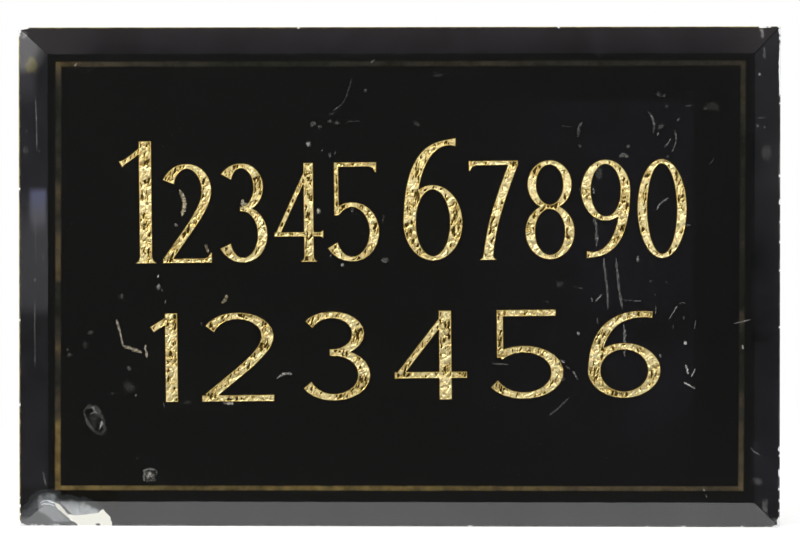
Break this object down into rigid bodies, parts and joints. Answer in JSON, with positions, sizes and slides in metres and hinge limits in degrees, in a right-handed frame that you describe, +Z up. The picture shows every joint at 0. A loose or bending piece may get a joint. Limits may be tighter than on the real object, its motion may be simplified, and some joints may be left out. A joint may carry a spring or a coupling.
{
  "type": "glass wall sign",
  "caption": "Bevelled glass office sign with gilded numerals and a gold line over black enamel, bonded to a board that hangs flat on a wall by keyhole plates.",
  "frame": {"origin": "middle of the board's rear face, on the plane of the wall, level with the middle of the glass", "axes": "+X to the right as a reader faces the sign, +Y from the sign into the wall, +Z up"},
  "size_m": [0.4572, 0.018, 0.3],
  "materials": {
    "plate_glass": "clear polished plate glass, faintly green at its edges",
    "gold_leaf": "crinkled gold leaf laid on etched glass, bright",
    "gold_line_leaf": "burnished gold leaf laid on smooth glass, like a dull mirror",
    "black_enamel": "brushed black sign enamel, scratched and lost in places",
    "mastic": "grey-brown mastic pressed flat",
    "board_wood": "planed and shellacked plywood, satin",
    "hanger_brass": "stamped brass, lightly tarnished",
    "screw_brass": "turned brass, satin"
  },
  "bodies": {
    "root": {"glass_plate": "plate_glass", "upper_numeral_1": "gold_leaf", "upper_numeral_2": "gold_leaf", "upper_numeral_3": "gold_leaf", "upper_numeral_4": "gold_leaf", "upper_numeral_5": "gold_leaf", "upper_numeral_6": "gold_leaf", "upper_numeral_7": "gold_leaf", "upper_numeral_8": "gold_leaf", "upper_numeral_9": "gold_leaf", "upper_numeral_0": "gold_leaf", "lower_numeral_1": "gold_leaf", "lower_numeral_2": "gold_leaf", "lower_numeral_3": "gold_leaf", "lower_numeral_4": "gold_leaf", "lower_numeral_5": "gold_leaf", "lower_numeral_6": "gold_leaf", "gold_line_top": "gold_line_leaf", "gold_line_bottom": "gold_line_leaf", "gold_line_left": "gold_line_leaf", "gold_line_right": "gold_line_leaf", "black_enamel": "black_enamel", "mastic_dabs": "mastic", "backing_board": "board_wood", "keyhole_plate_left": "hanger_brass", "keyhole_plate_right": "hanger_brass", "hanger_screws": "screw_brass"}
  },
  "joints": []
}
